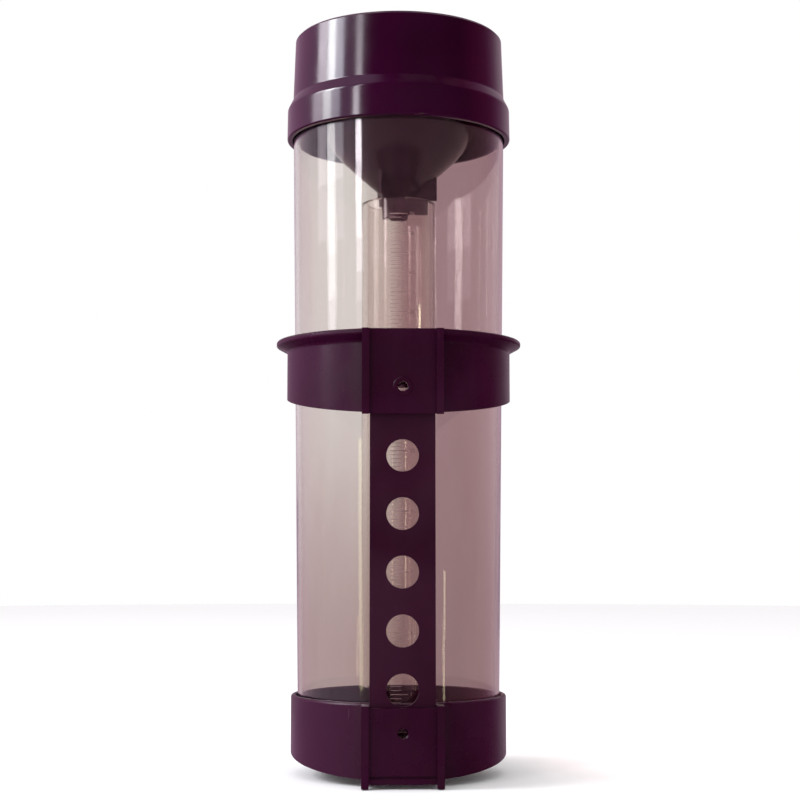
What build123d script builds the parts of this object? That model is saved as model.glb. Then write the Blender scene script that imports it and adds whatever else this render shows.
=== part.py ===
from build123d import *
import os
from math import atan2, cos, degrees, radians, sin, tan

# Manual rain gauge on a post bracket. A funnel cap catches rain and drains it into a slim
# measuring tube. What the tube can't hold spills into the clear overflow cylinder round it.
# A ring and a cup, joined by a flat strap, hold the cylinder on a post or a wall.
#
# Frame, in millimetres: +Z is up. The origin is midway between the two screw holes, on the face
# of the mounting pads. The post stands on the -Y side, against the rails that stand proud of that
# face, and the gauge's own axis is parallel to Z. Every solid is made round that axis first, with
# the post's face at y = -AXIS_TO_POST.

AXIS_TO_POST = 61.0

# Catch funnel: outer wall and rim
CATCH_R = 50.8
RIM_Z = 267.0
RIM_OUTER_R = 53.4
RIM_BEVEL = 1.2
WALL_FOOT_R = 54.5
WALL_FOOT_Z = 235.0
SHOULDER_BEND_R = 1.5
CATCH_LIP_Z = 258.2

# Catch funnel: collar over the cylinder, and the pocket that takes the cylinder's rim
COLLAR_R = 57.5
COLLAR_DRAFT = 0.2
COLLAR_TOP_Z = 229.5
COLLAR_TOP_BEND_R = 3.0
COLLAR_BOTTOM_Z = 214.0
COLLAR_EDGE_R = 0.8
COLLAR_BORE_R = 54.9
POCKET_R = 51.7
POCKET_ROOF_Z = 249.5

# Catch funnel: rain bowl and spout
BOWL_CORNER = (35.25, 209.5)
BOWL_WALL_SLOPE = 69.8
BOWL_CONE_SLOPE = 41.9
BOWL_THICKNESS = 2.2
BOWL_BEND_R = 38.0
SPOUT_R = 4.9
SPOUT_BORE_R = 3.7
SPOUT_BOTTOM_Z = 173.2
SPOUT_EDGE_R = 0.5

# Fins under the funnel, which centre the measuring tube
FIN_COUNT = 3
FIN_THICKNESS = 1.6
FIN_GUIDE_R = 15.4
FIN_SHOULDER_R = 19.8
FIN_BOTTOM_Z = 175.9
FIN_SHOULDER_Z = 183.5
FIN_ROOT_R = 4.4

# Overflow cylinder
CYLINDER_TOP_R = 54.4
CYLINDER_FOOT_R = 50.5
CYLINDER_WALL = 2.0
CYLINDER_FLOOR = 2.5
CYLINDER_TOP_Z = 228.5
CYLINDER_BOTTOM_Z = -85.4
CYLINDER_FOOT_BEND_R = 1.5
CYLINDER_RIM_EDGE_R = 0.5
LOCATING_RING_BORE_R = 22.7
LOCATING_RING_WALL = 1.6
LOCATING_RING_HEIGHT = 3.0
LOCATING_RING_ROOT = 0.5

# Measuring tube: its bore has a tenth of the catch area, so 1 mm of rain stands 10 mm high
TUBE_BORE_R = CATCH_R / 10 ** 0.5
TUBE_R = 18.9
TUBE_RIM_Z = 181.5
TUBE_RIM_EDGE_R = 0.6
TUBE_FLOOR_Z = -77.0
TUBE_FLOOR_THICKNESS = 2.6
TUBE_FLOOR_BEND_R = 2.0
TUBE_FOOT_R = 22.2
TUBE_FOOT_HEIGHT = 2.4
TUBE_FOOT_BEND_R = 1.0

# Bracket: pads, their rails and their screw holes
PAD_WIDTH = 39.0
RAIL_WIDTH = 3.5
RAIL_HEIGHT = 1.8
PLATE_THICKNESS = 2.3
SCREW_SPACING = 163.0
SCREW_HOLE_R = 2.4
SCREW_HEAD_R = 4.2
HOLE_MOUTH_BEVEL = 0.35
HOLE_RIM_R = 4.7
HOLE_RIM_HEIGHT = 0.4

# Bracket ring
RING_BORE_R = 54.0
RING_R = 56.8
RING_TOP_Z = 109.3
RING_FRONT_Z = 68.1
RING_BACK_Z = 91.9
RING_MOUTH_EDGE_R = 1.0
LIP_R = 62.3
LIP_EDGE = 2.4
LIP_DROP = 5.4
LIP_ROOT_BEND_R = 1.5
LIP_UNDER_EDGE_R = 1.0
LIP_TOP_EDGE_R = 1.1

# Bracket cup
CUP_BORE_R = 51.6
CUP_R = 54.0
CUP_TOP_Z = -68.0
CUP_TOP_EDGE_R = 1.4
CUP_FRONT_Z = -105.3
CUP_BACK_Z = -87.8
CUP_FLOOR = 2.4
CUP_DRAIN_R = 9.0
CUP_LEAD_IN = 0.5
CUP_PAD_DROP = 0.7
CUP_PLATE_DROP = 1.9
RAIL_NUB_Z = -106.8
RAIL_NUB_ROOT = 2.0
GROOVE_Z = -102.4
GROOVE_HEIGHT = 1.3
GROOVE_DEPTH = 0.9

# Strap: slides into a slot behind each pad
STRAP_WIDTH = 31.2
STRAP_THICKNESS = 2.0
STRAP_TOP_Z = 100.0
STRAP_BOTTOM_Z = -94.0
STRAP_CORNER_R = 2.0
STRAP_HOLE_R = 7.75
STRAP_HOLE_TOP_Z = 48.7
STRAP_HOLE_PITCH = 27.6
STRAP_HOLE_COUNT = 5
SLOT_SIDE_GAP = 0.4
SLOT_BACK_GAP = 0.3

# A cut runs this far past the face that it opens, and an outline this far past a slanting cut
CUT_SPARE = 1.0
SKIRT_SPARE = 5.0

PAD_FACE_Y = -(AXIS_TO_POST - RAIL_HEIGHT)
STRAP_FRONT_Y = PAD_FACE_Y + PLATE_THICKNESS
STRAP_BACK_Y = STRAP_FRONT_Y + STRAP_THICKNESS
RAIL_STARTS = (-PAD_WIDTH / 2, PAD_WIDTH / 2 - RAIL_WIDTH)
BETWEEN_RAILS = (RAIL_STARTS[0] + RAIL_WIDTH, RAIL_STARTS[1])
TO_FRAME = Pos(0, -PAD_FACE_Y, 0)


def turned(outline, roundings=()):
    """Revolves a closed outline of (radius, height) points about Z.

    Each rounding is (point, radius) and is applied to the outline's corner nearest that point.
    """
    face = make_face(Polyline(*outline, close=True))
    for (radius_at, height_at), rounding in roundings:
        corner = face.vertices().sort_by_distance((radius_at, height_at, 0))[0]
        face = fillet(corner, rounding)
    return revolve(Plane.XZ * face, axis=Axis.Z)


def block(x_range, y_range, z_range):
    """A box between the given limits."""
    lows = [limits[0] for limits in (x_range, y_range, z_range)]
    sizes = [limits[1] - limits[0] for limits in (x_range, y_range, z_range)]
    return Pos(*lows) * Box(*sizes, align=Align.MIN)


def on_line(point, slope, radius):
    """Height at a radius, on the line that rises outwards through a point at a slope in degrees."""
    return point[1] + (radius - point[0]) * tan(radians(slope))


def bowl_inner_corner():
    """The corner of the bowl's rain side, one wall thickness in from the outer corner."""
    middle = radians((BOWL_WALL_SLOPE + BOWL_CONE_SLOPE) / 2)
    half_turn = radians((BOWL_WALL_SLOPE - BOWL_CONE_SLOPE) / 2)
    shift = BOWL_THICKNESS / cos(half_turn)
    return (BOWL_CORNER[0] - shift * sin(middle), BOWL_CORNER[1] + shift * cos(middle))


def catch_funnel():
    """Outer wall, collar over the cylinder, rain bowl, spout and the fins that centre the tube."""
    wall_rise = tan(radians(BOWL_WALL_SLOPE))
    roof_inner_r = BOWL_CORNER[0] + (POCKET_ROOF_Z - BOWL_CORNER[1]) / wall_rise
    inner_corner = bowl_inner_corner()
    outline = [
        (CATCH_R, RIM_Z),
        (RIM_OUTER_R - RIM_BEVEL, RIM_Z),
        (RIM_OUTER_R, RIM_Z - RIM_BEVEL),
        (WALL_FOOT_R, WALL_FOOT_Z),
        (COLLAR_R - COLLAR_DRAFT, COLLAR_TOP_Z),
        (COLLAR_R, COLLAR_BOTTOM_Z),
        (COLLAR_BORE_R, COLLAR_BOTTOM_Z),
        (COLLAR_BORE_R, CYLINDER_TOP_Z),
        (POCKET_R, CYLINDER_TOP_Z),
        (POCKET_R, POCKET_ROOF_Z),
        (roof_inner_r, POCKET_ROOF_Z),
        BOWL_CORNER,
        (SPOUT_R, on_line(BOWL_CORNER, BOWL_CONE_SLOPE, SPOUT_R)),
        (SPOUT_R, SPOUT_BOTTOM_Z),
        (SPOUT_BORE_R, SPOUT_BOTTOM_Z),
        (SPOUT_BORE_R, on_line(inner_corner, BOWL_CONE_SLOPE, SPOUT_BORE_R)),
        inner_corner,
        (CATCH_R, CATCH_LIP_Z),
    ]
    roundings = [
        ((WALL_FOOT_R, WALL_FOOT_Z), SHOULDER_BEND_R),
        ((COLLAR_R, COLLAR_TOP_Z), COLLAR_TOP_BEND_R),
        ((COLLAR_R, COLLAR_BOTTOM_Z), COLLAR_EDGE_R),
        (BOWL_CORNER, BOWL_BEND_R),
        (inner_corner, BOWL_BEND_R - BOWL_THICKNESS),
        ((SPOUT_R, SPOUT_BOTTOM_Z), SPOUT_EDGE_R),
    ]
    funnel = turned(outline, roundings)
    for k in range(FIN_COUNT):
        funnel += Rot(Z=360 / FIN_COUNT * k) * guide_fin()
    return funnel


def guide_fin():
    """One upright fin: a shoulder above the tube's rim, and a narrower tongue inside its bore."""
    sunk = BOWL_THICKNESS / 2
    outline = [
        (FIN_ROOT_R, FIN_BOTTOM_Z),
        (FIN_GUIDE_R, FIN_BOTTOM_Z),
        (FIN_GUIDE_R, FIN_SHOULDER_Z),
        (FIN_SHOULDER_R, FIN_SHOULDER_Z),
        (FIN_SHOULDER_R, on_line(BOWL_CORNER, BOWL_CONE_SLOPE, FIN_SHOULDER_R) + sunk),
        (FIN_ROOT_R, on_line(BOWL_CORNER, BOWL_CONE_SLOPE, FIN_ROOT_R) + sunk),
    ]
    face = Plane.XZ * make_face(Polyline(*outline, close=True))
    return extrude(face, amount=FIN_THICKNESS / 2, both=True)


def overflow_cylinder():
    """Clear cylinder with a slight taper, a closed floor and a low ring that locates the tube."""
    floor_z = CYLINDER_BOTTOM_Z + CYLINDER_FLOOR
    bore_foot_r = CYLINDER_FOOT_R - CYLINDER_WALL
    outline = [
        (0, CYLINDER_BOTTOM_Z),
        (CYLINDER_FOOT_R, CYLINDER_BOTTOM_Z),
        (CYLINDER_TOP_R, CYLINDER_TOP_Z),
        (CYLINDER_TOP_R - CYLINDER_WALL, CYLINDER_TOP_Z),
        (bore_foot_r, floor_z),
        (0, floor_z),
    ]
    roundings = [
        ((CYLINDER_FOOT_R, CYLINDER_BOTTOM_Z), CYLINDER_FOOT_BEND_R),
        ((bore_foot_r, floor_z), CYLINDER_FOOT_BEND_R),
        ((CYLINDER_TOP_R, CYLINDER_TOP_Z), CYLINDER_RIM_EDGE_R),
    ]
    ring_outline = [
        (LOCATING_RING_BORE_R, floor_z - LOCATING_RING_ROOT),
        (LOCATING_RING_BORE_R + LOCATING_RING_WALL, floor_z - LOCATING_RING_ROOT),
        (LOCATING_RING_BORE_R + LOCATING_RING_WALL, floor_z + LOCATING_RING_HEIGHT),
        (LOCATING_RING_BORE_R, floor_z + LOCATING_RING_HEIGHT),
    ]
    return turned(outline, roundings) + turned(ring_outline)


def measuring_tube():
    """Clear tube with a raised floor, on a hollow foot with a flange."""
    foot_z = CYLINDER_BOTTOM_Z + CYLINDER_FLOOR
    under_floor_z = TUBE_FLOOR_Z - TUBE_FLOOR_THICKNESS
    outline = [
        (0, TUBE_FLOOR_Z),
        (TUBE_BORE_R, TUBE_FLOOR_Z),
        (TUBE_BORE_R, TUBE_RIM_Z),
        (TUBE_R, TUBE_RIM_Z),
        (TUBE_R, foot_z + TUBE_FOOT_HEIGHT),
        (TUBE_FOOT_R, foot_z + TUBE_FOOT_HEIGHT),
        (TUBE_FOOT_R, foot_z),
        (TUBE_BORE_R, foot_z),
        (TUBE_BORE_R, under_floor_z),
        (0, under_floor_z),
    ]
    roundings = [
        ((TUBE_BORE_R, TUBE_FLOOR_Z), TUBE_FLOOR_BEND_R),
        ((TUBE_R, TUBE_RIM_Z), TUBE_RIM_EDGE_R),
        ((TUBE_BORE_R, TUBE_RIM_Z), TUBE_RIM_EDGE_R),
        ((TUBE_FOOT_R, foot_z + TUBE_FOOT_HEIGHT), TUBE_FOOT_BEND_R),
        ((TUBE_BORE_R, under_floor_z), TUBE_FOOT_BEND_R),
    ]
    return turned(outline, roundings)


def below_slant(front_z, back_z, radius):
    """Everything below a plane that slants from a height at the pad to one at the back."""
    slant = degrees(atan2(back_z - front_z, AXIS_TO_POST + radius))
    reach = 8 * radius
    lower_half = Box(reach, reach, reach, align=(Align.CENTER, Align.CENTER, Align.MAX))
    return Pos(0, -AXIS_TO_POST, front_z) * Rot(X=slant) * lower_half


def pad(bottom_z, top_z, bore_r):
    """The flat mounting pad in front of a ring or cup, with a rail down each side."""
    plate = block((-PAD_WIDTH / 2, PAD_WIDTH / 2), (PAD_FACE_Y, 0), (bottom_z, top_z))
    for x in RAIL_STARTS:
        plate += block((x, x + RAIL_WIDTH), (-AXIS_TO_POST, PAD_FACE_Y), (bottom_z, top_z))
    bore = Pos(0, 0, (bottom_z + top_z) / 2) * Cylinder(bore_r, 2 * (top_z - bottom_z))
    return plate - bore


def inward(height, y, shape):
    """A shape made on its own base, laid so that its axis runs in from y at a height."""
    return Pos(0, y, height) * Rot(X=-90) * shape


def screw_hole(height, mouth_y):
    """A hole with a bevelled mouth, which runs in to the gauge's axis."""
    base = (Align.CENTER, Align.CENTER, Align.MIN)
    bore = Cylinder(SCREW_HOLE_R, AXIS_TO_POST, align=base)
    mouth = Cone(SCREW_HOLE_R + HOLE_MOUTH_BEVEL, SCREW_HOLE_R, HOLE_MOUTH_BEVEL, align=base)
    return inward(height, mouth_y, bore + mouth)


def head_sink(height, inner_y):
    """The countersink for a screw head, which lies flush with an inner face at inner_y."""
    depth = SCREW_HEAD_R - SCREW_HOLE_R
    sink = Cone(SCREW_HOLE_R, SCREW_HEAD_R, depth, align=(Align.CENTER, Align.CENTER, Align.MAX))
    return inward(height, inner_y, sink)


def strap_slot(bottom_z, top_z, back_y):
    """The space that the strap slides into, behind a pad's plate."""
    half = STRAP_WIDTH / 2 + SLOT_SIDE_GAP
    return block((-half, half), (STRAP_FRONT_Y, back_y), (bottom_z, top_z))


def bracket_ring():
    """Upper ring with a flared lip, deepest at the pad and shallow at the back."""
    skirt_z = RING_FRONT_Z - SKIRT_SPARE
    outline = [
        (RING_BORE_R, skirt_z),
        (RING_R, skirt_z),
        (RING_R, RING_TOP_Z - LIP_DROP),
        (LIP_R, RING_TOP_Z - LIP_EDGE),
        (LIP_R, RING_TOP_Z),
        (RING_BORE_R, RING_TOP_Z),
    ]
    roundings = [
        ((RING_R, RING_TOP_Z - LIP_DROP), LIP_ROOT_BEND_R),
        ((LIP_R, RING_TOP_Z - LIP_EDGE), LIP_UNDER_EDGE_R),
        ((LIP_R, RING_TOP_Z), LIP_TOP_EDGE_R),
        ((RING_BORE_R, RING_TOP_Z), RING_MOUTH_EDGE_R),
    ]
    before_pad = (-2 * AXIS_TO_POST, PAD_FACE_Y)
    height = SCREW_SPACING / 2
    ring = turned(outline, roundings)
    ring -= block((-PAD_WIDTH / 2, PAD_WIDTH / 2), before_pad, (0, 2 * RING_TOP_Z))
    ring += pad(skirt_z, RING_TOP_Z, RING_BORE_R)
    ring -= below_slant(RING_FRONT_Z, RING_BACK_Z, RING_R)
    ring -= strap_slot(0, STRAP_TOP_Z + CUT_SPARE, -RING_BORE_R / 2)
    rim_base = (Align.CENTER, Align.CENTER, Align.MIN)
    rim = Cone(HOLE_RIM_R - HOLE_RIM_HEIGHT, HOLE_RIM_R, HOLE_RIM_HEIGHT, align=rim_base)
    ring += inward(height, PAD_FACE_Y - HOLE_RIM_HEIGHT, rim)
    return ring - screw_hole(height, PAD_FACE_Y - HOLE_RIM_HEIGHT)


def bracket_cup():
    """Lower cup that carries the cylinder, with a slanting skirt under its floor."""
    floor_z = CYLINDER_BOTTOM_Z
    skirt_z = CUP_FRONT_Z - SKIRT_SPARE
    top_z = CUP_TOP_Z + CUT_SPARE
    height = -SCREW_SPACING / 2
    outline = [
        (CUP_BORE_R, skirt_z),
        (CUP_R, skirt_z),
        (CUP_R, CUP_TOP_Z),
        (CUP_BORE_R + CUP_LEAD_IN, CUP_TOP_Z),
        (CUP_BORE_R, CUP_TOP_Z - CUP_LEAD_IN),
        (CUP_BORE_R, floor_z),
        (CUP_DRAIN_R, floor_z),
        (CUP_DRAIN_R, floor_z - CUP_FLOOR),
        (CUP_BORE_R, floor_z - CUP_FLOOR),
    ]
    cup = turned(outline, [((CUP_R, CUP_TOP_Z), CUP_TOP_EDGE_R)])
    cup += pad(skirt_z, CUP_TOP_Z - CUP_PAD_DROP, CUP_BORE_R)
    cup -= below_slant(CUP_FRONT_Z, CUP_BACK_Z, CUP_R)
    over_plate = (PAD_FACE_Y - CUT_SPARE, STRAP_FRONT_Y)
    cup -= block(BETWEEN_RAILS, over_plate, (CUP_TOP_Z - CUP_PLATE_DROP, top_z))
    groove = (PAD_FACE_Y - CUT_SPARE, PAD_FACE_Y + GROOVE_DEPTH)
    cup -= block(BETWEEN_RAILS, groove, (GROOVE_Z, GROOVE_Z + GROOVE_HEIGHT))
    cup -= strap_slot(STRAP_BOTTOM_Z - CUT_SPARE, top_z, STRAP_BACK_Y + SLOT_BACK_GAP)
    cup -= screw_hole(height, PAD_FACE_Y)
    cup -= head_sink(height, -CUP_BORE_R + SLOT_BACK_GAP)
    for x in RAIL_STARTS:
        nub = (RAIL_NUB_Z, CUP_FRONT_Z + RAIL_NUB_ROOT)
        cup += block((x, x + RAIL_WIDTH), (-AXIS_TO_POST, STRAP_FRONT_Y), nub)
    return cup


def bracket_strap():
    """Flat strap with a row of round holes, and a screw hole behind each pad."""
    half = STRAP_WIDTH / 2
    strap = block((-half, half), (STRAP_FRONT_Y, STRAP_BACK_Y), (STRAP_BOTTOM_Z, STRAP_TOP_Z))
    strap = fillet(strap.edges().filter_by(Axis.Y), STRAP_CORNER_R)
    row = [STRAP_HOLE_TOP_Z - STRAP_HOLE_PITCH * k for k in range(STRAP_HOLE_COUNT)]
    holes = [(height, STRAP_HOLE_R) for height in row]
    holes += [(height, SCREW_HOLE_R) for height in (SCREW_SPACING / 2, -SCREW_SPACING / 2)]
    for height, radius in holes:
        strap -= inward(height, STRAP_FRONT_Y, Cylinder(radius, 4 * STRAP_THICKNESS))
    return strap - head_sink(SCREW_SPACING / 2, STRAP_BACK_Y)


PARTS = {
    "catch_funnel": catch_funnel,
    "overflow_cylinder": overflow_cylinder,
    "measuring_tube": measuring_tube,
    "bracket_ring": bracket_ring,
    "bracket_strap": bracket_strap,
    "bracket_cup": bracket_cup,
}

os.makedirs("parts", exist_ok=True)
for name, make in PARTS.items():
    solid = TO_FRAME * make()
    solid.label = name
    export_step(solid, os.path.join("parts", name + ".step"))
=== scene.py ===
import math

import bmesh
import bpy
from mathutils import Euler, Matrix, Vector


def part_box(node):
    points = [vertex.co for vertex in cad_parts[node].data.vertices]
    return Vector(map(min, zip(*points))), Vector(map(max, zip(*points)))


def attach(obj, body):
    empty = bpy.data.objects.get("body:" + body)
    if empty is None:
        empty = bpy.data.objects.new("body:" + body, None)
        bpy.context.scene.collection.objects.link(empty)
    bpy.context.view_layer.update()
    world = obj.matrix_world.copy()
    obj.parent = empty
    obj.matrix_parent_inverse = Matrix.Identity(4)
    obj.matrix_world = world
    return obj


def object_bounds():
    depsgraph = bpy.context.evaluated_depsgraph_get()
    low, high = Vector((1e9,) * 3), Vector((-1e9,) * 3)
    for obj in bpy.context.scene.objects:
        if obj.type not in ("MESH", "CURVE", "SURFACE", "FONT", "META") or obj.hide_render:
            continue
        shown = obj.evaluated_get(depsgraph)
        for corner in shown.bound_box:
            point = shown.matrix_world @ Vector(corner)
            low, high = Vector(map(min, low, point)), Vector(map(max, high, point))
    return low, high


# Looks for a manual rain gauge: a dark glossy funnel cap on a clear overflow cylinder, a clear
# measuring tube with a printed scale, and a satin bracket made of a ring, a strap and a cup.
# Metres, +Z up. Azimuths here are degrees round the gauge's axis, 0 on the post's side, where the
# camera stands, and positive towards +X.

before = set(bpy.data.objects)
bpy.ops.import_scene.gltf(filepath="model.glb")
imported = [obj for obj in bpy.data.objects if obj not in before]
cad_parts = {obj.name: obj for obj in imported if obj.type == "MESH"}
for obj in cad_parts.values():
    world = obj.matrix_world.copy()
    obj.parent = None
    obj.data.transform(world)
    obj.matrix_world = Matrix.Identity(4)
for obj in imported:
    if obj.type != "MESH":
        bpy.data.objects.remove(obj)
cad_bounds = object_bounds()

tube_low, tube_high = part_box("measuring_tube")
AXIS = Vector(((tube_low.x + tube_high.x) / 2, (tube_low.y + tube_high.y) / 2))

# Camera
CAMERA_DISTANCE = 0.833
CAMERA_HEIGHT = 0.0058
CAMERA_AZIMUTH = -2.0
CAMERA_PITCH = 5.10
CAMERA_AIM_RIGHT = 0.053
CAMERA_LENS = 73.575
CAMERA_SENSOR = 36.0
CAMERA_NEAR = 0.01
CAMERA_FAR = 50.0

# Printed scale: 1 mm of rain stands 10 mm high in the measuring tube
TUBE_FLOOR = 0.0059
SCALE_ZERO = tube_low.z + TUBE_FLOOR
RAIN_MM_HEIGHT = 0.010
MARKS_PER_MM = 5
SCALE_TOP_MM = 25
MARK_LEFT = -0.0048
MARK_RIGHTS = {"fine": 0.0006, "whole": 0.0040}
MARK_THICKNESS = {"fine": 0.00022, "whole": 0.00030}
INK_SUNK = 0.00002
INK_PROUD = 0.00006
MARK_ARC_STEP = math.radians(3)
NUMBER_SIZE = 0.0026
NUMBER_LEFT = 0.0050
NUMBER_CURVE_STEPS = 4
MERGE_DISTANCE = 1e-6

# Plastics
DARK_IOR = 1.5
DARK_WAVE_DEPTH = 0.00012
SCUFF_TONE = (0.13, 0.06, 0.09)
DUST_TONE = (0.17, 0.14, 0.13)
DUST_COVER = 0.30
WEAR_ROUGHENS = 0.25
CLEAR_IOR = 1.49
CLEARNESS = 0.9995
FILM_HAZE = 0.002
SCRATCH_HAZE = 0.003
FILM_ROUGHENS = 0.03
SCRATCH_ROUGHENS = 0.06
FINE_WAVE_SHARE = 1 / 8

# Floor
FLOOR_RADIUS = 2.4
FLOOR_SEGMENTS = 96
FLOOR_GAP = 0.0005

# The room. A colour here is a radiance.
WHITE = (1.0, 1.0, 1.0)
AMBIENT = (1.0, 1.0, 1.0)
DARK_GROUND = (0.10, 0.02, 0.06)
# A direction's rise is its height for a length of 1. The room goes from one look to the next
# between two rises.
GROUND_RISES = (-0.45, -0.08)
LOW_TO_HIGH_RISES = (-0.075, 0.11)
# Colours of the room by azimuth, as the plastics mirror it
MIRRORED = [
    (-180, (0.45, 0.32, 0.40)),
    (-128, (0.72, 0.40, 0.64)),
    (-104, (0.80, 0.52, 0.78)),
    (-56, (0.80, 0.58, 0.86)),
    (-40, (0.45, 0.30, 0.42)),
    (-31, (0.05, 0.0, 0.03)),
    (70, (0.03, 0.0, 0.01)),
    (88, (0.22, 0.02, 0.07)),
    (109, (0.30, 0.05, 0.15)),
    (121, (0.42, 0.14, 0.30)),
    (140, (0.60, 0.40, 0.52)),
    (180, (0.45, 0.32, 0.40)),
]
# Colours of the room by azimuth, as the clear walls let it through, high up and low down
SEEN_THROUGH_HIGH = [
    (-180, (0.86, 0.92, 0.87)),
    (-125, (0.84, 0.86, 0.82)),
    (-90, (0.72, 0.60, 0.60)),
    (0, (0.52, 0.27, 0.36)),
    (90, (0.46, 0.31, 0.35)),
    (125, (0.41, 0.29, 0.31)),
    (176.5, (0.40, 0.28, 0.305)),
    (180, (0.86, 0.92, 0.87)),
]
SEEN_THROUGH_LOW = [
    (-180, (0.50, 0.43, 0.41)),
    (-125, (0.52, 0.46, 0.42)),
    (-90, (0.50, 0.40, 0.40)),
    (0, (0.41, 0.24, 0.30)),
    (90, (0.39, 0.27, 0.30)),
    (125, (0.37, 0.27, 0.28)),
    (176.5, (0.35, 0.25, 0.265)),
    (180, (0.50, 0.43, 0.41)),
]

# The light. Bands are (lowest, highest, radiance), in metres and from the bottom up.
LIGHT_DISTANCE = 1.5
WINDOW_BANDS = [
    (0.25, 0.28, 1.5), (0.28, 0.32, 3.0), (0.32, 0.38, 4.4), (0.38, 0.48, 5.2), (0.48, 0.60, 6.4),
    (0.60, 0.66, 10.0), (0.66, 0.74, 16.0), (0.74, 1.35, 24.0),
]
CURTAIN_BANDS = [
    (0.40, 0.48, 0.8), (0.48, 0.58, 2.0), (0.58, 0.66, 4.0), (0.66, 0.74, 7.0), (0.74, 1.35, 9.5),
]
NARROW_BANDS = [
    (0.27, 0.31, 0.8), (0.31, 0.35, 2.0), (0.35, 0.40, 4.0), (0.40, 0.45, 7.0), (0.45, 0.50, 10.0),
    (0.50, 0.66, 14.0), (0.66, 1.35, 8.0),
]


# ---------------------------------------------------------------------------------------------
# Places round the gauge


def around(azimuth, distance, height):
    """The point at an azimuth and a distance from the gauge's axis, at a height."""
    turn = math.radians(azimuth)
    return Vector((AXIS.x + distance * math.sin(turn), AXIS.y - distance * math.cos(turn), height))


def on_tube(across, radius, height):
    """The point at an arc length from the middle of the tube's front, at a radius and a height."""
    return around(math.degrees(across / TUBE_R), radius, height)


def rim_radius(node, depth=0.002):
    """A node's largest radius about the axis, within a short depth of its top."""
    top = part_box(node)[1].z
    points = [v.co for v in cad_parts[node].data.vertices if v.co.z > top - depth]
    return max((p.xy - AXIS).length for p in points)


TUBE_R = rim_radius("measuring_tube")


# ---------------------------------------------------------------------------------------------
# Node trees


class Tree:
    """Adds nodes to a material's or world's node tree. An input given as a socket is linked."""

    def __init__(self, owner):
        owner.use_nodes = True
        self.tree = owner.node_tree
        self.tree.nodes.clear()

    def add(self, kind, inputs=(), **settings):
        node = self.tree.nodes.new(kind)
        for name, value in settings.items():
            setattr(node, name, value)
        for name, value in dict(inputs).items():
            self.feed(node.inputs[name], value)
        return node

    def feed(self, socket, value):
        if isinstance(value, bpy.types.NodeSocket):
            self.tree.links.new(value, socket)
        elif isinstance(value, tuple) and socket.type == "RGBA" and len(value) == 3:
            socket.default_value = (*value, 1.0)
        else:
            socket.default_value = value

    def math(self, operation, a, b=0.0, clamp=False):
        node = self.add("ShaderNodeMath", {0: a, 1: b}, operation=operation, use_clamp=clamp)
        return node.outputs[0]

    def between(self, value, low, high, to_low=0.0, to_high=1.0):
        """Maps low..high to to_low..to_high smoothly, and holds the ends."""
        inputs = {
            "Value": value, "From Min": low, "From Max": high, "To Min": to_low, "To Max": to_high,
        }
        return self.add("ShaderNodeMapRange", inputs, interpolation_type="SMOOTHSTEP").outputs[0]

    def mix(self, factor, a, b):
        """A colour mix, a where factor is 0 and b where it is 1. a and b are colours or sockets."""
        node = self.add("ShaderNodeMix", data_type="RGBA")
        self.feed(node.inputs[0], factor)
        self.feed(node.inputs[6], a)
        self.feed(node.inputs[7], b)
        return node.outputs[2]

    def noise(self, scale, detail=2.0, stretch=(1.0, 1.0, 1.0), roughness=0.5):
        """Noise in the object's own coordinates, with about scale times stretch features a metre."""
        place = self.add("ShaderNodeTexCoord").outputs["Object"]
        moved = self.add("ShaderNodeMapping", {"Vector": place, "Scale": stretch}).outputs[0]
        inputs = {"Vector": moved, "Scale": scale, "Detail": detail, "Roughness": roughness}
        return self.add("ShaderNodeTexNoise", inputs).outputs["Fac"]

    def ramp(self, value, stops):
        """A colour ramp with (position, colour) stops."""
        node = self.add("ShaderNodeValToRGB", {"Fac": value})
        band = node.color_ramp
        band.elements[0].position = stops[0][0]
        band.elements[1].position = stops[-1][0]
        for position, _ in stops[1:-1]:
            band.elements.new(position)
        for element, (_, colour) in zip(band.elements, stops):
            element.color = (*colour, 1.0)
        return node.outputs["Color"]

    def bump(self, height, distance, under=None):
        """A bumped normal. distance is the relief in metres, and under is a normal to add it to."""
        inputs = {"Height": height, "Distance": distance, "Strength": 1.0}
        if under is not None:
            inputs["Normal"] = under
        return self.add("ShaderNodeBump", inputs).outputs[0]


# ---------------------------------------------------------------------------------------------
# Materials


def upward(t):
    """1 where a surface faces up, 0 where it is upright or faces down."""
    normal = t.add("ShaderNodeNewGeometry").outputs["Normal"]
    up = t.add("ShaderNodeSeparateXYZ", {0: normal}).outputs["Z"]
    return t.between(up, 0.35, 0.9)


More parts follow.
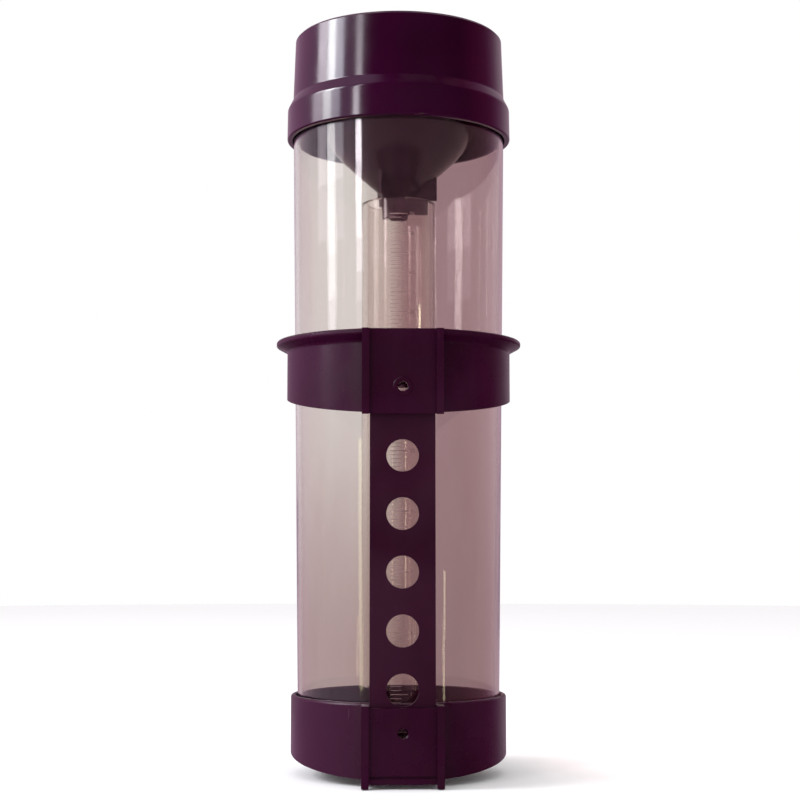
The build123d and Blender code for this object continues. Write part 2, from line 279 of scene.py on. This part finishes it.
def dark_plastic(name, deep, lit, rough, shine, grain, grain_depth, scuff):
    """Moulded dark plastic: cloudy pigment, flow lines, a fine surface grain, scuffs and dust.

    rough is (smoothest, roughest). shine is the mirror layer's strength, 0.5 for most plastics.
    grain is in features a metre, grain_depth in metres, and scuff is the scuffs' cover.
    """
    material = bpy.data.materials.new(name)
    t = Tree(material)
    cloud = t.between(t.noise(16.0, 4.0), 0.35, 0.65)
    flow = t.noise(30.0, 3.0, stretch=(6.0, 6.0, 0.7))
    colour = t.mix(cloud, deep, lit)
    colour = t.mix(t.between(flow, 0.5, 0.8, 0.0, 0.35), colour, lit)
    lines = t.noise(60.0, 6.0, stretch=(22.0, 22.0, 0.9), roughness=0.75)
    scratches = t.between(lines, 0.62, 0.72)
    patches = t.between(t.noise(24.0, 3.0), 0.5, 0.66)
    scuffs = t.math("MULTIPLY", scratches, patches)
    colour = t.mix(t.math("MULTIPLY", scuffs, scuff), colour, SCUFF_TONE)
    dust = t.math("MULTIPLY", upward(t), t.between(t.noise(90.0, 5.0), 0.42, 0.7))
    colour = t.mix(t.math("MULTIPLY", dust, DUST_COVER), colour, DUST_TONE)
    smudge = t.noise(38.0, 4.0)
    roughness = t.between(smudge, 0.3, 0.7, rough[0], rough[1])
    roughness = t.math("ADD", roughness, t.math("MULTIPLY", scuffs, WEAR_ROUGHENS))
    roughness = t.math("ADD", roughness, t.math("MULTIPLY", dust, WEAR_ROUGHENS), clamp=True)
    wave = t.bump(t.noise(26.0, 2.0, stretch=(1.0, 1.0, 0.35)), DARK_WAVE_DEPTH)
    normal = t.bump(t.noise(grain, 2.0), grain_depth, under=wave)
    shader = t.add("ShaderNodeBsdfPrincipled", {
        "Base Color": colour,
        "Roughness": roughness,
        "Normal": normal,
        "IOR": DARK_IOR,
        "Specular IOR Level": shine,
    })
    t.add("ShaderNodeOutputMaterial", {"Surface": shader.outputs[0]})
    return material


def clear_plastic(name, tint, stain, rough, wave_depth):
    """Clear moulded plastic: a tint, slow waves in the wall, fine scratches and a film of dust.

    Lamps shine straight through it, tinted, so that they reach what is inside.
    """
    material = bpy.data.materials.new(name)
    t = Tree(material)
    film = t.between(t.noise(20.0, 5.0, stretch=(1.6, 1.6, 0.35)), 0.42, 0.72)
    colour = t.mix(film, tint, stain)
    lines = t.noise(55.0, 6.0, stretch=(24.0, 24.0, 0.8), roughness=0.7)
    scratches = t.between(lines, 0.64, 0.74)
    roughness = t.math("ADD", rough, t.math("MULTIPLY", scratches, SCRATCH_ROUGHENS))
    roughness = t.math("ADD", roughness, t.math("MULTIPLY", film, FILM_ROUGHENS))
    clearness = t.math("SUBTRACT", CLEARNESS, t.math("MULTIPLY", film, FILM_HAZE))
    clearness = t.math("SUBTRACT", clearness, t.math("MULTIPLY", scratches, SCRATCH_HAZE))
    slow = t.bump(t.noise(14.0, 2.0, stretch=(1.5, 1.5, 0.55)), wave_depth)
    fine = t.noise(70.0, 2.0, stretch=(1.8, 1.8, 0.25))
    normal = t.bump(fine, wave_depth * FINE_WAVE_SHARE, under=slow)
    shader = t.add("ShaderNodeBsdfPrincipled", {
        "Base Color": colour,
        "Roughness": roughness,
        "Normal": normal,
        "Transmission Weight": clearness,
        "IOR": CLEAR_IOR,
    })
    lamps = t.add("ShaderNodeLightPath").outputs["Is Shadow Ray"]
    passed = t.add("ShaderNodeBsdfTransparent", {"Color": tint})
    both = t.add("ShaderNodeMixShader", {0: lamps, 1: shader.outputs[0], 2: passed.outputs[0]})
    t.add("ShaderNodeOutputMaterial", {"Surface": both.outputs[0]})
    return material


def ink(name):
    """Printed ink, worn thin in places."""
    material = bpy.data.materials.new(name)
    t = Tree(material)
    worn = t.between(t.noise(420.0, 4.0), 0.4, 0.65)
    shader = t.add("ShaderNodeBsdfPrincipled", {
        "Base Color": t.mix(worn, (0.38, 0.27, 0.27), (0.52, 0.40, 0.39)),
        "Roughness": t.between(worn, 0.0, 1.0, 0.45, 0.7),
    })
    t.add("ShaderNodeOutputMaterial", {"Surface": shader.outputs[0]})
    return material


def pale_floor(name):
    """Plain pale matt floor, very slightly uneven in tone."""
    material = bpy.data.materials.new(name)
    t = Tree(material)
    shader = t.add("ShaderNodeBsdfPrincipled", {
        "Base Color": t.mix(t.noise(3.0, 3.0), (0.93, 0.93, 0.93), (0.95, 0.95, 0.95)),
        "Roughness": 0.8,
    })
    t.add("ShaderNodeOutputMaterial", {"Surface": shader.outputs[0]})
    return material


def dress(node, material):
    """Gives a CAD node one material on all its faces."""
    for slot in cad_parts[node].material_slots:
        slot.material = material


funnel_plastic = dark_plastic(
    "funnel_plastic",
    deep=(0.0150, 0.0002, 0.0080), lit=(0.0210, 0.0006, 0.0125),
    rough=(0.13, 0.20), shine=0.5, grain=1400.0, grain_depth=0.000002, scuff=0.3,
)
bracket_plastic = dark_plastic(
    "bracket_plastic",
    deep=(0.0200, 0.0004, 0.0100), lit=(0.0280, 0.0018, 0.0160),
    rough=(0.24, 0.34), shine=0.21, grain=2200.0, grain_depth=0.000008, scuff=0.4,
)
strap_plastic = dark_plastic(
    "strap_plastic",
    deep=(0.0205, 0.0006, 0.0100), lit=(0.0300, 0.0026, 0.0160),
    rough=(0.30, 0.42), shine=0.2, grain=1900.0, grain_depth=0.000010, scuff=0.5,
)
cylinder_plastic = clear_plastic(
    "clear_cylinder",
    tint=(0.90, 0.84, 0.83), stain=(0.86, 0.78, 0.77), rough=0.012, wave_depth=0.00030,
)
tube_plastic = clear_plastic(
    "clear_tube",
    tint=(0.93, 0.89, 0.87), stain=(0.89, 0.83, 0.80), rough=0.012, wave_depth=0.00010,
)
scale_ink = ink("scale_ink")

dress("catch_funnel", funnel_plastic)
dress("bracket_ring", bracket_plastic)
dress("bracket_cup", bracket_plastic)
dress("bracket_strap", strap_plastic)
dress("overflow_cylinder", cylinder_plastic)
dress("measuring_tube", tube_plastic)


# ---------------------------------------------------------------------------------------------
# The printed scale


def add_piece(name, mesh, material):
    """Puts a new mesh on the tube's body, with its material."""
    mesh.materials.append(material)
    piece = bpy.data.objects.new(name, mesh)
    bpy.context.scene.collection.objects.link(piece)
    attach(piece, "tube")
    return piece


def add_mark(bm, left, right, height, thickness):
    """One closed bar of ink that follows the tube's outside between two arc lengths."""
    steps = max(2, math.ceil((right - left) / TUBE_R / MARK_ARC_STEP))
    rings = []
    for k in range(steps + 1):
        across = left + (right - left) * k / steps
        corners = [
            on_tube(across, TUBE_R + out, height + up)
            for out, up in (
                (-INK_SUNK, -thickness / 2), (INK_PROUD, -thickness / 2),
                (INK_PROUD, thickness / 2), (-INK_SUNK, thickness / 2),
            )
        ]
        rings.append([bm.verts.new(corner) for corner in corners])
    for first, second in zip(rings, rings[1:]):
        for i in range(4):
            j = (i + 1) % 4
            bm.faces.new((first[i], second[i], second[j], first[j]))
    bm.faces.new(rings[0])
    bm.faces.new(reversed(rings[-1]))


def scale_marks():
    """A mark for every 0.2 mm of rain, longer and thicker at each whole millimetre."""
    bm = bmesh.new()
    for k in range(SCALE_TOP_MM * MARKS_PER_MM + 1):
        kind = "whole" if k % MARKS_PER_MM == 0 else "fine"
        height = SCALE_ZERO + RAIN_MM_HEIGHT * k / MARKS_PER_MM
        add_mark(bm, MARK_LEFT, MARK_RIGHTS[kind], height, MARK_THICKNESS[kind])
    bmesh.ops.recalc_face_normals(bm, faces=bm.faces)
    mesh = bpy.data.meshes.new("scale_marks")
    bm.to_mesh(mesh)
    bm.free()
    return mesh


def number_mesh(text):
    """A number as a thin flat solid: x across, y up, z out, its left end at x = 0."""
    curve = bpy.data.curves.new("number", "FONT")
    curve.body = text
    curve.size = NUMBER_SIZE
    curve.align_y = "CENTER"
    curve.extrude = (INK_SUNK + INK_PROUD) / 2
    curve.resolution_u = NUMBER_CURVE_STEPS
    holder = bpy.data.objects.new("number", curve)
    mesh = bpy.data.meshes.new_from_object(holder)
    bpy.data.objects.remove(holder)
    bpy.data.curves.remove(curve)
    return mesh


def scale_numbers():
    """The whole millimetres of rain, printed beside their marks and curved round the tube."""
    bm = bmesh.new()
    middle = TUBE_R + (INK_PROUD - INK_SUNK) / 2
    for rain in range(1, SCALE_TOP_MM + 1):
        flat = number_mesh(str(rain))
        height = SCALE_ZERO + RAIN_MM_HEIGHT * rain
        for vertex in flat.vertices:
            x, y, z = vertex.co
            vertex.co = on_tube(NUMBER_LEFT + x, middle + z, height + y)
        bm.from_mesh(flat)
        bpy.data.meshes.remove(flat)
    bmesh.ops.remove_doubles(bm, verts=bm.verts, dist=MERGE_DISTANCE)
    mesh = bpy.data.meshes.new("scale_numbers")
    bm.to_mesh(mesh)
    bm.free()
    return mesh


add_piece("scale_marks", scale_marks(), scale_ink)
add_piece("scale_numbers", scale_numbers(), scale_ink)


# ---------------------------------------------------------------------------------------------
# Floor, light and camera


def floor():
    """A plain disc just under the gauge, which the plastics neither mirror nor show."""
    bm = bmesh.new()
    bmesh.ops.create_circle(bm, cap_ends=True, segments=FLOOR_SEGMENTS, radius=FLOOR_RADIUS)
    mesh = bpy.data.meshes.new("floor")
    bm.to_mesh(mesh)
    bm.free()
    mesh.materials.append(pale_floor("floor"))
    disc = bpy.data.objects.new("floor", mesh)
    disc.location = (AXIS.x, AXIS.y, cad_bounds[0].z - FLOOR_GAP)
    bpy.context.scene.collection.objects.link(disc)
    disc.visible_transmission = False
    disc.visible_glossy = False


def panel(name, azimuth, low, high, width, radiance, colour):
    """An upright area light that faces the axis, between two heights."""
    light = bpy.data.lights.new(name, "AREA")
    light.shape = "RECTANGLE"
    light.size = width
    light.size_y = high - low
    light.energy = radiance * math.pi * width * (high - low)
    light.color = colour
    lamp = bpy.data.objects.new(name, light)
    lamp.location = around(azimuth, LIGHT_DISTANCE, (low + high) / 2)
    lamp.rotation_euler = Euler((math.radians(90), 0, math.radians(azimuth)))
    lamp.visible_camera = False
    bpy.context.scene.collection.objects.link(lamp)


def window(name, azimuth, bands, width, colour):
    """A panel for each band, one above the other."""
    for k, (low, high, radiance) in enumerate(bands):
        panel(f"{name}_{k}", azimuth, low, high, width, radiance, colour)


def round_the_gauge(stops):
    """Ramp stops from (azimuth, colour) stops."""
    return [((azimuth + 180) / 360, colour) for azimuth, colour in stops]


def surroundings():
    """A white backdrop, and a dim room that the plastics mirror and show through themselves."""
    world = bpy.data.worlds.new("room")
    bpy.context.scene.world = world
    world.cycles.sampling_method = "NONE"
    t = Tree(world)
    direction = t.add("ShaderNodeTexCoord").outputs["Generated"]
    parts = t.add("ShaderNodeSeparateXYZ", {0: direction})
    toward = t.math("MULTIPLY", parts.outputs["Y"], -1.0)
    azimuth = t.math("ARCTAN2", parts.outputs["X"], toward)
    share = t.add("ShaderNodeMapRange", {
        "Value": azimuth, "From Min": -math.pi, "From Max": math.pi,
    }).outputs[0]
    rise = parts.outputs["Z"]
    mirrored = t.ramp(share, round_the_gauge(MIRRORED))
    mirrored = t.mix(t.between(rise, *GROUND_RISES), DARK_GROUND, mirrored)
    seen_through = t.mix(
        t.between(rise, *LOW_TO_HIGH_RISES),
        t.ramp(share, round_the_gauge(SEEN_THROUGH_LOW)),
        t.ramp(share, round_the_gauge(SEEN_THROUGH_HIGH)),
    )
    path = t.add("ShaderNodeLightPath").outputs
    colour = t.mix(path["Is Glossy Ray"], AMBIENT, mirrored)
    colour = t.mix(path["Is Transmission Ray"], colour, seen_through)
    colour = t.mix(path["Is Camera Ray"], colour, WHITE)
    back = t.add("ShaderNodeBackground", {"Color": colour, "Strength": 1.0})
    t.add("ShaderNodeOutputWorld", {"Surface": back.outputs[0]})


def camera():
    """Stands at the post's side, a little to the left, and looks slightly up."""
    data = bpy.data.cameras.new("camera")
    data.lens = CAMERA_LENS
    data.sensor_width = CAMERA_SENSOR
    data.clip_start = CAMERA_NEAR
    data.clip_end = CAMERA_FAR
    eye = bpy.data.objects.new("camera", data)
    eye.location = around(CAMERA_AZIMUTH, CAMERA_DISTANCE, CAMERA_HEIGHT)
    heading = math.radians(CAMERA_AZIMUTH - CAMERA_AIM_RIGHT)
    eye.rotation_euler = Euler((math.radians(90 + CAMERA_PITCH), 0, heading))
    bpy.context.scene.collection.objects.link(eye)
    bpy.context.scene.camera = eye


floor()
surroundings()
window("window", -79.5, WINDOW_BANDS, 0.26, (0.96, 0.98, 1.0))
window("left_curtain", -92.5, CURTAIN_BANDS, 0.36, (0.97, 0.92, 1.0))
window("right_curtain", -69.5, CURTAIN_BANDS, 0.31, (0.88, 0.90, 1.0))
window("narrow_window", -44.8, NARROW_BANDS, 0.17, (0.98, 0.94, 1.0))
panel("lamp", 20.5, -0.08, 0.30, 0.05, 9.0, (1.0, 0.96, 0.62))
panel("low_left_lamp", -44.0, -0.22, 0.12, 0.11, 2.6, (1.0, 0.98, 0.55))
panel("low_right_lamp", 50.0, -0.24, -0.06, 0.05, 4.0, (1.0, 0.96, 0.60))
camera()
bpy.context.scene.view_settings.view_transform = "Standard"
